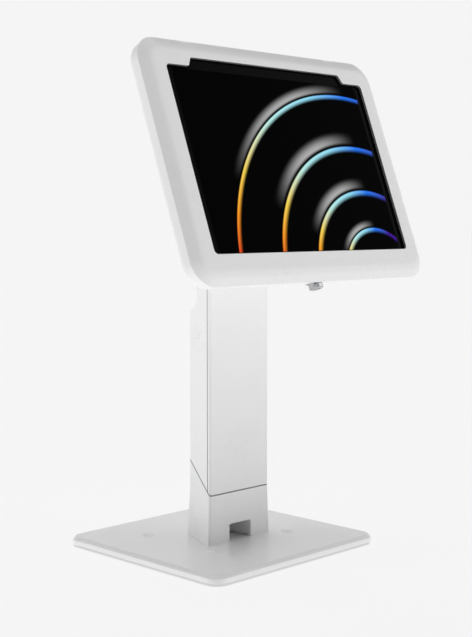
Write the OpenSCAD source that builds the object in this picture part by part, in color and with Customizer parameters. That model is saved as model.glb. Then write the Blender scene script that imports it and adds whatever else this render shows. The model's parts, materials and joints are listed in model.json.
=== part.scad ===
// Counter-top touchscreen kiosk: weighted base, shouldered column, and a tilting and
// turning head whose lockable front frame holds a tablet.
// Rest face at z = 0, +Z up, the screen looks towards -Y, +X is to the viewer's right.

/* [Base] */
// Width of the base plate
base_w = 210; // [190:1:240]
// Depth of the base plate
base_d = 200; // [180:1:230]
// Corner radius of the base plate
base_r = 13; // [10:1:36]
// Height of the base plate's top face
base_top = 9.2; // [8.4:0.1:12]
// Width and height of the chamfer round the top edge
base_chamfer = 2.8; // [1.5:0.1:3.2]
// Thickness of the non-slip pad
pad_t = 2.2; // [0.8:0.1:2.6]
// How far the pad stands in from the plate's edge
pad_inset = 8; // [1:0.5:8]
// Spacing of the fixing holes from left to right
bolt_dx = 102; // [100:1:130]
// Spacing of the fixing holes from front to back
bolt_dy = 82; // [76:1:100]
// Centre of the fixing holes behind the base's centre
bolt_y = 5; // [0:1:8]
// Radius of a fixing hole
bolt_r = 3.3; // [2.5:0.1:4]

/* [Column] */
// Width of the column's front face
column_front_w = 77.2; // [77:0.1:90]
// Width of the column's rear face
column_rear_w = 42; // [41:0.5:48]
// Front face ahead of the base's centre
column_front = 23; // [22.5:0.5:25]
// Depth of the column below the shoulder
column_d = 45; // [44:0.5:48]
// Depth of the neck above the shoulder
neck_d = 29.5; // [29.5:0.5:32]
// Height at which the rear starts to step forward
shoulder_z = 215; // [200:1:225]
// Height of the neck's top
neck_top = 304.5; // [300:0.5:305]
// Radius of the front cover's long edges
cover_edge_r = 2; // [1:0.1:3.6]
// Height of the slanted joint at the column's front
seam_front_z = 54; // [46:0.1:62]
// Slope of the joint between foot and column
seam_angle = 30.5; // [18:0.5:33]
// How far each side of the foot flares out at its bottom
foot_flare = 1.7; // [0.5:0.1:3]
// How far the foot's front flares out
foot_flare_front = 0.7; // [0.3:0.1:1.5]
// How far the foot's rear flares out
foot_flare_rear = 3; // [0.5:0.1:4]
// Width of the cable mouth in the foot
mouth_w = 28; // [20:1:32]
// Height of the cable mouth above the base plate
mouth_h = 16; // [12:1:20]

/* [Head] */
// Width of the front frame
frame_w = 294.5; // [292:0.5:300]
// Height of the front frame
frame_h = 214.5; // [212:0.5:220]
// Corner radius of the front frame
frame_r = 22; // [16:1:26]
// Width of the soft bevel round the frame
bevel_w = 9.3; // [8:0.1:10]
// Depth of the soft bevel, down to the joint with the shell
bevel_d = 7; // [6.5:0.1:7]
// Steepest slope of the bevel
bevel_angle = 48; // [44:1:50]
// Thickness of the whole head
head_t = 20; // [20:0.5:22]
// Lean of the screen from upright
head_lean = 20.45; // [10:0.05:30]
// Middle of the screen ahead of the base's centre
screen_front = 89.5; // [80:0.5:100]
// Height of the middle of the screen
screen_z = 353; // [340:1:370]
// Width of the window
window_w = 247.5; // [240:0.5:248]
// Height of the window
window_h = 163.6; // [158:0.1:164]
// Height of the camera notch above the window
notch_h = 8; // [6:0.1:8.2]
// Width of the camera notch at its top
notch_w = 187.4; // [150:0.1:200]

/* [Tablet] */
// Width of the tablet
tablet_w = 253; // [252:0.5:254]
// Height of the tablet
tablet_h = 184; // [183:0.5:184.5]
// Width of the lit display
display_w = 232.8; // [225:0.1:234]
// Height of the lit display
display_h = 160.5; // [155:0.1:162]

/* [Mechanism] */
// Tilt axis behind the screen's face
tilt_back = 85; // [84:0.5:86]
// Radius of the tilt pin
tilt_pin_r = 5; // [4:0.1:5.5]
// Spacing of the four fixings of the head's plate
plate_holes = 100; // [75:1:100]
// Radius of the swivel spindle
spindle_r = 6; // [5:0.1:6.5]
// Radius of the lock's collar
lock_r = 6.2; // [5.5:0.1:6.2]
// How far the lock stands out of the head
lock_out = 5.3; // [3:0.1:7]

/* [Hidden] */
$fn = 64;

white = [0.93, 0.93, 0.93];
steel = [0.62, 0.63, 0.65];
chrome = [0.8, 0.81, 0.83];
black = [0.06, 0.06, 0.07];
rubber = [0.14, 0.14, 0.15];

// Room left between pieces that only lie against each other
gap = 0.05;
// Shadow line between the visible casings
shadow = 1.2;
// Reach of the blocks that cut or carry a shape past its ends
far = 400;

// Holes of the base plate
plug_seat_r = 5.2;
plug_seat_z = 5.6;
screw_seat_z = pad_t + 2.6;

// Foot
foot_wall = 4;
foot_post_r = 4;
foot_post_h = 14;
foot_post_sides = 24;
foot_lip_front = -12;
foot_screw_r = 1.75;
mouth_outline = [
    [-mouth_w / 2, -5, 0], [mouth_w / 2, -5, 0],
    [mouth_w / 2, mouth_h + 1, 2], [-mouth_w / 2, mouth_h + 1, 2]
];

// Column plan
column_rear = column_d - column_front;
neck_rear = neck_d - column_front;
side_slope = (column_front_w - column_rear_w) / 2 / column_d;
column_wall = 2;
cover_d = 4;
cover_t = 2;
rear_corner_r = 2.5;
lip_w = 8;
shell_front = cover_d + shadow - column_front;
cap_t = 2;
clip_z = [80, 160, 240];

// Shoulder of the column's rear, drawn as two corners with equal rounds
shoulder_low = shoulder_z + 5.5;
shoulder_high = shoulder_z + 11.5;
shoulder_r = 8.5;

// Inner channel that carries the head on two foot plates
mast_w = 33;
mast_t = 2.5;
mast_front = -18.5;
mast_rear = 4;
mast_top = 296;
mast_lift = 0.8;
mast_foot_t = 4;
mast_foot_x = 22.6;
mast_foot_y = [-12, 6];
mast_screw_r = 2.4;
shell_screw_r = 1.9;
mast_fixings = [[19.2, -8.2], [19.2, 2.2]];
foot_fixings = [[27.5, -12.5], [12.5, 15]];
shell_fixing_z = [104, 188];

// Tilt hinge
tilt_y = -screen_front + tilt_back * cos(head_lean);
tilt_z = screen_z - tilt_back * sin(head_lean);
ear_t = 5;
ear_r = 14;
ear_out = mast_w / 2 - mast_t - gap;
ear_in = ear_out - ear_t;
washer_t = 1.8;
knuckle_w = 2 * (ear_in - washer_t - 2 * gap);
knuckle_r = 13.5;
bush_r = tilt_pin_r + 1.5;
running = 0.05;
bracket_low = 262;
bracket_screw_r = 2.4;
bracket_fixing_z = [270, 288];
bracket_fixing_y = -5;

// Swivel, as distances behind the screen's face
plate_t = 3;
spacer_t = 8;
plate_back = head_t + spacer_t + plate_t;
hub_t = 8;
hub_front = plate_back + 1;
hub_r = 24;
spindle_in = hub_front + 12;
spindle_end = head_t + 2.5;
nut_t = 3.5;
spring_t = 1;
plate_screw_r = 2;

// Head casing
lip_t = 2.2;
shell_w = frame_w - 2;
shell_h = frame_h - 2;
shell_r = frame_r - 1;
shell_wall = 2;
shell_edge_r = 6;
bevel_r = (bevel_w * sin(bevel_angle) - bevel_d * cos(bevel_angle)) / (1 - cos(bevel_angle));
window_r = 4;
notch_foot_w = notch_w + 8.6;
notch_r = 2;

// Hinge of the front frame
hinge_y = shell_h / 2 - 1.25;
hinge_z = -bevel_d - 2.2;
hinge_x = 90;
hinge_pin_r = 1;
hinge_barrel_r = 2;
hinge_mid_l = 12;
hinge_side_l = 7;
hinge_relief = 0.8;
pocket_w = 31;
pocket_d = 5;
pocket_t = 1.8;
pocket_low = hinge_z - 3.4;
knuckle_l = hinge_mid_l + 2 * hinge_side_l + 1.2;

// Tablet, as distances behind the screen's face
gasket_t = 0.6;
glass_front = lip_t + gasket_t;
glass_t = 0.8;
glass_back = glass_front + glass_t;
tablet_back = 8.8;
tablet_r = 12;
tablet_wall = 2;
tablet_floor = 1.2;
panel_t = 1.6;
camera_y = 85;

// Lock in the head's lower side
lock_z = -13.6;
lock_wall = -shell_h / 2;
lock_barrel_r = 4.5;
plug_r = 3.2;
lock_boss_r = 8.5;
cam_t = 1.5;
cam_reach = 9;
cam_w = 4;
barrel_in = 8;
cam_y = lock_wall + barrel_in + 0.8;
cam_screw_r = 1.3;
catch_screw_r = 1.1;
catch_screw_x = [17, 26];
catch_t = 1.2;

// Arc from angle a to angle b round c
function arc(c, r, a, b, n) =
    [for (i = [0:n]) let (t = a + (b - a) * i / n) c + r * [cos(t), sin(t)]];

function unit(v) = v / norm(v);

// Points of a round of radius r at corner p, between its neighbours a and b
function round_corner(a, p, b, r, n) =
    let (u = unit(a - p), v = unit(b - p), half = acos(u * v) / 2)
    let (c = p + unit(u + v) * r / sin(half), s = p + u * r / tan(half) - c, e = p + v * r / tan(half) - c)
    let (from = atan2(s.y, s.x), turn = atan2(s.x * e.y - s.y * e.x, s * e))
    arc(c, r, from, from + turn, n);

// Outline through corners of [x, y, radius]
function rounded(corners, n = 6) = [
    for (i = [0:len(corners) - 1])
        let (k = len(corners), q = corners[i], a = corners[(i + k - 1) % k], b = corners[(i + 1) % k])
        each q.z > 0 ? round_corner([a.x, a.y], [q.x, q.y], [b.x, b.y], q.z, n) : [[q.x, q.y]]
];

function box_corners(w, d, r) =
    [[-w / 2, -d / 2, r], [w / 2, -d / 2, r], [w / 2, d / 2, r], [-w / 2, d / 2, r]];

// Half width of the column at depth y
function side_x(y) = column_front_w / 2 - (y + column_front) * side_slope;

// Outside of the column from its front to depth rear
function column_plan(rear) = [
    [-column_front_w / 2, -column_front, cover_edge_r], [column_front_w / 2, -column_front, cover_edge_r],
    [side_x(rear), rear, rear_corner_r], [-side_x(rear), rear, rear_corner_r]
];

// Edge profiles are lists of [inset, height], lowest point first
function bevel_edge(wall) =
    let (r = bevel_r - wall, foot = bevel_d - bevel_r + r * cos(bevel_angle))
    let (end = bevel_w - r * sin(bevel_angle) - foot / tan(bevel_angle))
    concat(
        [[end, -bevel_d]],
        [for (i = [8:-1:0]) let (t = bevel_angle * i / 8) [bevel_w - r * sin(t), r * cos(t) - bevel_r]]
    );

function round_back_edge(r, back, front) =
    concat([for (i = [0:8]) let (t = 90 * i / 8) [r - r * sin(t), back + r - r * cos(t)]], [[0, front]]);

// Slab with round corners whose edge follows a profile
module edged_slab(w, d, r, edge) {
    low = edge[0].y;
    high = edge[len(edge) - 1].y;
    rim = concat([[0, low]], [for (p = edge) [r - p.x, p.y]], [[0, high]]);
    across = concat(
        [for (p = edge) [d / 2 - p.x, p.y]],
        [for (i = [len(edge) - 1:-1:0]) [edge[i].x - d / 2, edge[i].y]]
    );
    rotate([90, 0, 90]) linear_extrude(w - 2 * r, center = true) polygon(across);
    for (side = [0, 1]) mirror([side, 0, 0]) translate([w / 2 - r, 0, 0]) {
        rotate([90, 0, 0]) linear_extrude(d - 2 * r, center = true) polygon(rim);
        for (end = [0, 1]) mirror([0, end, 0]) translate([0, d / 2 - r, 0])
            rotate_extrude(angle = 90) polygon(rim);
    }
}

// Plate with round corners between two heights
module plate(w, d, r, low, high) {
    translate([0, 0, low]) linear_extrude(high - low) polygon(rounded(box_corners(w, d, r), 8));
}

module ring(outer, inner, h) {
    difference() {
        cylinder(r = outer, h = h);
        translate([0, 0, -1]) cylinder(r = inner, h = h + 2);
    }
}

module hex_nut(across_flats, bore, h) {
    difference() {
        cylinder(d = across_flats / cos(30), h = h, $fn = 6);
        translate([0, 0, -1]) cylinder(r = bore, h = h + 2);
    }
}

// Screw pointing up, its head resting on z = 0 from below
module pan_screw(shank_r, length, head_r, head_h) {
    translate([0, 0, -head_h]) cylinder(r = head_r, h = head_h);
    cylinder(r = shank_r, h = length);
}

module four(dx, dy) {
    for (x = [-1, 1], y = [-1, 1]) translate([x * dx / 2, y * dy / 2]) children();
}

module both_sides() {
    for (side = [0, 1]) mirror([side, 0, 0]) children();
}

// Screen frame of the head: x right, y up the face, z out of the face
module on_head() {
    translate([0, -screen_front, screen_z]) rotate([90 - head_lean, 0, 0]) children();
}

// Lock's axis in the screen frame, from a depth inside the lower wall upwards
module on_lock(depth) {
    translate([0, lock_wall + depth, lock_z]) rotate([-90, 0, 0]) children();
}

module on_tilt_axis() {
    translate([0, tilt_y, tilt_z]) rotate([0, 90, 0]) children();
}

// Space above the slanted joint, raised by lift
module above_seam(lift) {
    translate([0, -column_front, seam_front_z + lift]) rotate([seam_angle, 0, 0])
        translate([-far / 2, -far / 2, 0]) cube(far);
}

// Column as one block, drawn in from its faces by inset
module column_block(inset, front, round_front) {
    widen = inset * sqrt(1 + side_slope * side_slope);
    rear = column_rear - inset;
    neck = neck_rear - inset;
    plan = [
        [widen - side_x(front), front, round_front],
        [side_x(front) - widen, front, round_front],
        [side_x(rear) - widen, rear, rear_corner_r - inset],
        [widen - side_x(rear), rear, rear_corner_r - inset]
    ];
    profile = [
        [front, 0, 0], [rear, 0, 0], [rear, shoulder_low, shoulder_r],
        [neck, shoulder_high, shoulder_r], [neck, neck_top, 0], [front, neck_top, 0]
    ];
    intersection() {
        linear_extrude(neck_top) polygon(rounded(plan));
        rotate([90, 0, 90]) linear_extrude(far, center = true) polygon(rounded(profile, 8));
    }
}

module base_plate() {
    color(white) difference() {
        edged_slab(
            base_w, base_d, base_r,
            [[0, pad_t], [0, base_top - base_chamfer], [base_chamfer, base_top]]
        );
        translate([0, bolt_y]) four(bolt_dx, bolt_dy) {
            cylinder(r = bolt_r, h = base_top);
            translate([0, 0, plug_seat_z]) cylinder(r = plug_seat_r, h = base_top);
        }
        for (p = mast_fixings) both_sides() translate(p) base_screw_hole(2.7, 4.4);
        for (p = foot_fixings) both_sides() translate(p) base_screw_hole(2.2, 4.2);
    }
}

module base_screw_hole(shank_r, head_r) {
    cylinder(r = shank_r, h = far);
    cylinder(r = head_r, h = screw_seat_z);
}

module base_pad() {
    color(rubber) difference() {
        plate(base_w - 2 * pad_inset, base_d - 2 * pad_inset, base_r - pad_inset, 0, pad_t);
        translate([0, bolt_y, -1]) four(bolt_dx, bolt_dy) cylinder(r = bolt_r + 3, h = pad_t + 2);
    }
}

module hole_plugs() {
    color(white) translate([0, bolt_y, plug_seat_z]) four(bolt_dx, bolt_dy)
        cylinder(r = plug_seat_r - gap, h = base_top - plug_seat_z);
}

// Foot shoe: flared skirt, slanted top with a locating lip, cable mouth at the front
module foot() {
    flare_d = foot_flare_front + foot_flare_rear;
    spread = [1 + 2 * foot_flare / column_front_w, 1 + flare_d / column_d];
    still_y = foot_flare_front * column_d / flare_d - column_front;
    outline = column_plan(column_rear);
    skirt_h = seam_front_z - base_top;
    color(white) difference() {
        union() {
            difference() {
                union() {
                    translate([0, still_y, base_top])
                        linear_extrude(skirt_h, scale = [1 / spread.x, 1 / spread.y], slices = 1)
                            scale(spread) translate([0, -still_y]) polygon(rounded(outline));
                    translate([0, 0, seam_front_z]) linear_extrude(column_d) polygon(rounded(outline));
                }
                above_seam(0);
                column_block(foot_wall, foot_wall - column_front, 0);
            }
            foot_lip();
            for (p = foot_fixings) both_sides() translate([p.x, p.y, base_top])
                cylinder(r = foot_post_r, h = foot_post_h, $fn = foot_post_sides);
        }
        translate([0, -column_front, base_top - 1]) rotate([90, 0, 0])
            linear_extrude(3 * foot_wall, center = true) polygon(rounded(mouth_outline));
        for (p = foot_fixings) both_sides() translate([p.x, p.y, 0])
            cylinder(r = foot_screw_r, h = base_top + foot_post_h - 2, $fn = foot_post_sides);
    }
}

module foot_lip() {
    fit = column_wall + 0.3;
    intersection() {
        difference() {
            column_block(fit, foot_lip_front, 0);
            above_seam(5);
            column_block(fit + 2, foot_lip_front - 2, 0);
        }
        above_seam(-6);
    }
}

module foot_screws() {
    color(steel) for (p = foot_fixings) both_sides() translate([p.x, p.y, screw_seat_z])
        pan_screw(foot_screw_r - gap, 16, 4, 2);
}

// Channel section carried by a drilled plate on each side
module mast() {
    plate_in = mast_w / 2 - 1;
    foot_plate = [
        [plate_in, mast_foot_y[0], 0], [mast_foot_x, mast_foot_y[0], 2],
        [mast_foot_x, mast_foot_y[1], 2], [plate_in, mast_foot_y[1], 0]
    ];
    low = base_top + mast_lift;
    color(white) difference() {
        union() {
            both_sides() translate([0, 0, base_top])
                linear_extrude(mast_foot_t) polygon(rounded(foot_plate));
            translate([-mast_w / 2, mast_front, low])
                cube([mast_w, mast_rear - mast_front, mast_top - low]);
        }
        translate([mast_t - mast_w / 2, mast_front - 1, 0])
            cube([mast_w - 2 * mast_t, mast_rear - mast_front + 1 - mast_t, far]);
        for (p = mast_fixings) both_sides() translate([p.x, p.y, 0])
            cylinder(r = mast_screw_r, h = base_top + mast_foot_t + 1);
        for (z = shell_fixing_z) translate([0, 0, z]) rotate([-90, 0, 0])
            cylinder(r = shell_screw_r + 0.2, h = far);
        for (z = bracket_fixing_z) translate([0, bracket_fixing_y, z]) rotate([0, 90, 0])
            cylinder(r = bracket_screw_r + 0.2, h = far, center = true);
    }
}

module mast_screws() {
    color(steel) for (p = mast_fixings) both_sides() translate([p.x, p.y, screw_seat_z])
        pan_screw(mast_screw_r - gap, base_top + mast_foot_t - screw_seat_z, 4.2, 2.4);
}

// Rear casing: two sides and a shouldered back, open at the front between two lips
module column_shell() {
    inner_front = shell_front + column_wall;
    mouth = 2 * (side_x(shell_front) - lip_w);
    color(white) difference() {
        union() {
            difference() {
                intersection() {
                    column_block(0, shell_front, 0);
                    above_seam(shadow);
                }
                column_block(column_wall, inner_front, 0);
                translate([0, shell_front, 0]) cube([mouth, 4 * column_wall, 2 * far], center = true);
            }
            for (z = shell_fixing_z) translate([0, mast_rear + gap, z]) rotate([-90, 0, 0])
                cylinder(r = 4.5, h = column_rear - column_wall / 2 - mast_rear);
        }
        for (z = shell_fixing_z) translate([0, 0, z]) rotate([-90, 0, 0])
            cylinder(r = shell_screw_r + gap, h = column_rear - column_wall);
    }
}

module shell_screws() {
    color(steel) for (z = shell_fixing_z) translate([0, mast_rear - mast_t - gap, z]) rotate([-90, 0, 0])
        pan_screw(shell_screw_r, 12, 3.8, 2);
}

// Bent sheet with soft long edges
module front_cover() {
    color(white) intersection() {
        difference() {
            column_block(0, -column_front, cover_edge_r);
            column_block(cover_t, cover_t - column_front, max(0, cover_edge_r - cover_t));
            translate([-far / 2, cover_d - column_front, -1]) cube(far);
        }
        above_seam(shadow);
    }
}

// Spring clips on the cover's back, hooked behind the casing's lips
module cover_clips() {
    clip_h = 10;
    sheet = 1;
    root_y = cover_t - column_front + gap;
    lip_x = side_x(shell_front) - lip_w;
    lip_back = shell_front + column_wall;
    hook = [
        [lip_x - 9, root_y, 0], [lip_x - 0.6, root_y, 0], [lip_x - 0.6, lip_back + 0.4, 0],
        [lip_x + 1.6, lip_back + 0.4, 0], [lip_x + 1.6, lip_back + 0.4 + sheet, 0],
        [lip_x - 0.6 - sheet, lip_back + 0.4 + sheet, 0], [lip_x - 0.6 - sheet, root_y + sheet, 0],
        [lip_x - 9, root_y + sheet, 0]
    ];
    color(steel) for (z = clip_z) both_sides() translate([0, 0, z]) linear_extrude(clip_h, center = true)
        polygon(rounded(hook));
}

// Two ears on a bent channel, fixed inside the top of the mast
module hinge_bracket() {
    wall = 3;
    ear = [
        [mast_front, bracket_low, 2], [mast_rear - mast_t - gap, bracket_low, 0],
        [mast_rear - mast_t - gap, neck_top, 0], [tilt_y + ear_r * cos(8), tilt_z - ear_r * sin(8), 0],
        [tilt_y - ear_r * cos(20), tilt_z - ear_r * sin(20), 0], [mast_front, neck_top - 1, 4]
    ];
    color(steel) difference() {
        union() {
            both_sides() translate([ear_in, 0, 0]) rotate([90, 0, 90]) linear_extrude(ear_t) {
                polygon(rounded(ear));
                translate([tilt_y, tilt_z]) circle(r = ear_r);
            }
            translate([-ear_out, mast_rear - mast_t - gap - wall, bracket_low])
                cube([2 * ear_out, wall, neck_top - 3 - bracket_low]);
        }
        on_tilt_axis() cylinder(r = tilt_pin_r + gap, h = far, center = true);
        for (z = bracket_fixing_z) translate([0, bracket_fixing_y, z]) rotate([0, 90, 0])
            cylinder(r = bracket_screw_r, h = far, center = true);
    }
}

module bracket_screws() {
    color(steel) for (z = bracket_fixing_z) both_sides() translate([mast_w / 2, bracket_fixing_y, z])
        rotate([0, -90, 0]) pan_screw(bracket_screw_r - gap, mast_t + ear_t, 4.2, 2.2);
}

// Cap over the neck with a slot for each ear
module neck_cap() {
    room = 0.3;
    color(white) difference() {
        translate([0, 0, neck_top]) linear_extrude(cap_t) polygon(rounded(column_plan(neck_rear)));
        both_sides() translate([ear_in - room, mast_front - 1.5, 0])
            cube([ear_t + 2 * room, mast_rear - mast_front + 1, far]);
    }
}

module hinge_pin() {
    color(chrome) on_tilt_axis() {
        cylinder(r = tilt_pin_r, h = 2 * ear_out + 8, center = true);
        translate([0, 0, -ear_out - 5]) cylinder(r = 9, h = 5 - gap);
    }
}

module hinge_nut() {
    color(steel) on_tilt_axis() translate([0, 0, ear_out + gap]) hex_nut(15, tilt_pin_r + gap, 3.6);
}

module friction_washers() {
    color(rubber) both_sides() on_tilt_axis() translate([0, 0, ear_in - gap - washer_t])
        ring(knuckle_r - 1, tilt_pin_r + gap, washer_t);
}

// Arm from the tilt pin to the swivel hub behind the head
module tilt_arm() {
    arm_h = 20;
    hub_back = -hub_front - hub_t;
    web = [
        [1 - knuckle_r, -tilt_back, 0], [-arm_h / 2, 16 - tilt_back, 6], [-arm_h / 2, hub_back - 5, 5],
        [4 - hub_r, hub_back + 1, 0], [hub_r - 4, hub_back + 1, 0],
        [arm_h / 2, hub_back - 5, 5], [arm_h / 2, 16 - tilt_back, 6], [knuckle_r - 1, -tilt_back, 0]
    ];
    color(white) difference() {
        union() {
            on_head() rotate([90, 0, 90]) linear_extrude(knuckle_w, center = true) polygon(rounded(web));
            on_head() translate([0, 0, hub_back]) cylinder(r = hub_r, h = hub_t);
            on_tilt_axis() cylinder(r = knuckle_r, h = knuckle_w, center = true);
        }
        on_tilt_axis() cylinder(r = bush_r + 0.02, h = far, center = true);
        on_head() translate([0, 0, -spindle_in]) cylinder(r = spindle_r + 0.02, h = far);
    }
}

module knuckle_bush() {
    color(chrome) on_tilt_axis() translate([0, 0, -knuckle_w / 2])
        ring(bush_r, tilt_pin_r + running, knuckle_w);
}

module swivel_spindle() {
    color(chrome) on_head() translate([0, 0, -spindle_in])
        cylinder(r = spindle_r, h = spindle_in - spindle_end);
}

module swivel_nut() {
    color(steel) on_head() translate([0, 0, -head_t - spacer_t + spring_t + 2 * gap])
        hex_nut(18, spindle_r + 0.02, nut_t);
}

module swivel_washers() {
    color(rubber) on_head() {
        translate([0, 0, -hub_front]) ring(hub_r - 1, spindle_r + running, 1 - gap);
        translate([0, 0, -head_t - spacer_t + gap]) ring(12, spindle_r + running, spring_t);
    }
}

// Fixing plate of the head, which turns on the spindle
module swivel_plate() {
    color(white) on_head() difference() {
        plate(plate_holes + 18, plate_holes + 18, 9, -plate_back, -plate_back + plate_t);
        translate([0, 0, -far]) {
            cylinder(r = spindle_r + running, h = far);
            four(plate_holes, plate_holes) cylinder(r = plate_screw_r + 0.2, h = far);
        }
    }
}

module plate_spacers() {
    color(steel) on_head() translate([0, 0, -head_t - spacer_t]) four(plate_holes, plate_holes)
        ring(6, plate_screw_r + 0.2, spacer_t);
}

module plate_screws() {
    color(steel) on_head() translate([0, 0, -plate_back]) four(plate_holes, plate_holes)
        pan_screw(plate_screw_r, plate_back - head_t + shell_wall - 0.2, 3.8, 2.2);
}

// Tray behind the tablet, with hinge pockets at its top and a lock boss at its bottom
module rear_shell() {
    back = -head_t;
    color(white) on_head() difference() {
        union() {
            difference() {
                union() {
                    edged_slab(shell_w, shell_h, shell_r, round_back_edge(shell_edge_r, back, -bevel_d));
                    intersection() {
                        on_lock(0) cylinder(r = lock_boss_r, h = 14);
                        translate([0, 0, lock_z - far / 2]) cube(far, center = true);
                    }
                }
                edged_slab(
                    shell_w - 2 * shell_wall, shell_h - 2 * shell_wall, shell_r - shell_wall,
                    round_back_edge(shell_edge_r - shell_wall, back + shell_wall, 1)
                );
                on_lock(shell_wall) cylinder(r = lock_boss_r - 1.6, h = 10.4);
            }
            both_sides() translate([hinge_x, 0, 0]) hinge_pocket_walls();
        }
        translate([-far / 2, hinge_y - 5, -bevel_d - hinge_relief]) cube(far);
        both_sides() translate([hinge_x, 0, 0]) hinge_pocket();
        translate([0, 0, back - 1]) four(plate_holes, plate_holes)
            cylinder(r = plate_screw_r + gap, h = shell_wall + 2);
        on_lock(-1) cylinder(r = lock_barrel_r + gap, h = shell_wall + 2);
    }
}

// Box let into the top wall, and the outer knuckles in it
module hinge_pocket_walls() {
    inner = shell_h / 2 - pocket_d - pocket_t;
    low = pocket_low - pocket_t;
    translate([-pocket_w / 2 - pocket_t, inner, low])
        cube([pocket_w + 2 * pocket_t, shell_h / 2 - 1 - inner, -bevel_d - low - 1]);
}

module hinge_pocket() {
    difference() {
        translate([-pocket_w / 2, shell_h / 2 - pocket_d, pocket_low]) cube([pocket_w, far, far]);
        difference() {
            union() {
                translate([0, hinge_y, hinge_z]) rotate([0, 90, 0])
                    cylinder(r = hinge_barrel_r, h = knuckle_l, center = true);
                translate([-knuckle_l / 2, 0, hinge_z - hinge_barrel_r])
                    cube([knuckle_l, hinge_y, hinge_barrel_r]);
            }
            cube([hinge_mid_l + 1.2, far, far], center = true);
        }
    }
    translate([0, hinge_y, hinge_z]) rotate([0, 90, 0])
        cylinder(r = hinge_pin_r + gap, h = knuckle_l + 1, center = true);
}

module frame_hinge_pins() {
    color(chrome) on_head() both_sides() translate([hinge_x, hinge_y, hinge_z]) rotate([0, 90, 0])
        cylinder(r = hinge_pin_r, h = knuckle_l, center = true);
}

// Foam corners that seat the tablet in the tray
module corner_pads() {
    pad = 32;
    floor_z = -head_t + shell_wall + gap;
    color(rubber) on_head() difference() {
        four(tablet_w + 6, tablet_h + 6) translate([-pad / 2, -pad / 2, floor_z])
            cube([pad, pad, -4 - floor_z]);
        four(tablet_w + 6 + pad + 8, 0) cube([pad, far, far], center = true);
        four(0, tablet_h + 6 + pad + 4) cube([far, pad, far], center = true);
        plate(tablet_w + 0.2, tablet_h + 0.2, tablet_r, -tablet_back - gap, 1);
    }
}

module tablet_housing() {
    color(steel) on_head() difference() {
        plate(tablet_w, tablet_h, tablet_r, -tablet_back, -glass_back);
        plate(
            tablet_w - 2 * tablet_wall, tablet_h - 2 * tablet_wall, tablet_r - tablet_wall,
            tablet_floor - tablet_back, 1
        );
    }
}

module tablet_battery() {
    color(black) on_head() translate([0, 0, tablet_floor - tablet_back + gap]) both_sides()
        translate([22, -70, 0]) cube([88, 128, 1.9]);
}

module tablet_board() {
    color([0.1, 0.25, 0.15]) on_head() translate([-15, -76, tablet_floor - tablet_back + gap])
        cube([30, 150, 1.4]);
}

module display_panel() {
    color(black) on_head() plate(display_w, display_h, 4, -glass_back - panel_t, -glass_back - gap);
}

module cover_glass() {
    color(black) on_head() plate(tablet_w, tablet_h, tablet_r, -glass_back + gap, -glass_front);
}

module camera_lens() {
    lens_t = 1.2;
    color([0.1, 0.1, 0.2]) on_head() translate([0, camera_y, -glass_back - lens_t])
        cylinder(r = 1.6, h = lens_t - gap);
}

module lock_housing() {
    edge = 0.8;
    color(chrome) on_head() translate([0, lock_wall, lock_z]) rotate([90, 0, 0]) difference() {
        union() {
            translate([0, 0, gap]) cylinder(r = lock_r, h = lock_out - edge);
            translate([0, 0, lock_out - edge + gap]) cylinder(r1 = lock_r, r2 = lock_r - edge, h = edge);
            translate([0, 0, -barrel_in]) cylinder(r = lock_barrel_r, h = barrel_in + 1);
        }
        translate([0, 0, -barrel_in - 1]) cylinder(r = plug_r + running, h = far);
        translate([0, 0, lock_out - 0.6]) cylinder(r1 = plug_r + running, r2 = plug_r + 1.2, h = 1.2);
    }
}

module lock_nut() {
    color(steel) on_head() on_lock(shell_wall + gap) hex_nut(11.2, lock_barrel_r + gap, 2.6);
}

// Soft-bevelled frame with a notched window and hinge knuckles
module front_frame() {
    inside = bevel_edge(lip_t);
    color(white) on_head() difference() {
        union() {
            difference() {
                edged_slab(frame_w, frame_h, frame_r, bevel_edge(0));
                edged_slab(frame_w, frame_h, frame_r, concat([[inside[0].x, -bevel_d - 1]], inside));
                translate([0, 0, -bevel_d - 1]) linear_extrude(far) polygon(window_outline(0));
            }
            both_sides() translate([hinge_x - hinge_mid_l / 2, hinge_y, hinge_z]) {
                rotate([0, 90, 0]) cylinder(r = hinge_barrel_r, h = hinge_mid_l);
                translate([0, -1.2, 0]) cube([hinge_mid_l, 2.4, 2.8]);
            }
        }
        both_sides() translate([hinge_x, hinge_y, hinge_z]) rotate([0, 90, 0])
            cylinder(r = hinge_pin_r + running, h = hinge_mid_l + 2, center = true);
    }
}

function window_outline(grow) =
    let (x = window_w / 2 + grow, y = window_h / 2 + grow, r = window_r + grow)
    let (foot = notch_foot_w / 2 + grow, top = notch_w / 2 + grow)
    rounded([
        [-x, -y, r], [x, -y, r], [x, y, r], [foot, y, notch_r],
        [top, y + notch_h, notch_r], [-top, y + notch_h, notch_r], [-foot, y, notch_r], [-x, y, r]
    ]);

module frame_gasket() {
    color(rubber) on_head() difference() {
        plate(tablet_w - 0.6, tablet_h - 0.8, tablet_r, -glass_front + gap, -lip_t - gap);
        translate([0, 0, -far / 2]) linear_extrude(far) polygon(window_outline(0.5));
    }
}

// Hook under the frame that the lock's cam turns over
module latch_catch() {
    strip = 1.6;
    top = -lip_t - gap;
    foot_top = lock_z - cam_w / 2 - 0.35;
    hook = [
        [4, foot_top - 1.5, 0], [12, foot_top - 1.5, 0], [12, top - catch_t, 0], [30, top - catch_t, 0],
        [30, top, 0], [12 - strip, top, 0], [12 - strip, foot_top, 0], [4, foot_top, 0]
    ];
    color(steel) on_head() difference() {
        translate([0, cam_y + cam_t / 2, 0]) rotate([90, 0, 0]) linear_extrude(4, center = true)
            polygon(rounded(hook));
        catch_holes(catch_screw_r + 0.1);
    }
}

module catch_holes(r) {
    for (x = catch_screw_x) translate([x, cam_y + cam_t / 2, -lip_t - 3]) cylinder(r = r, h = 4);
}

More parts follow.
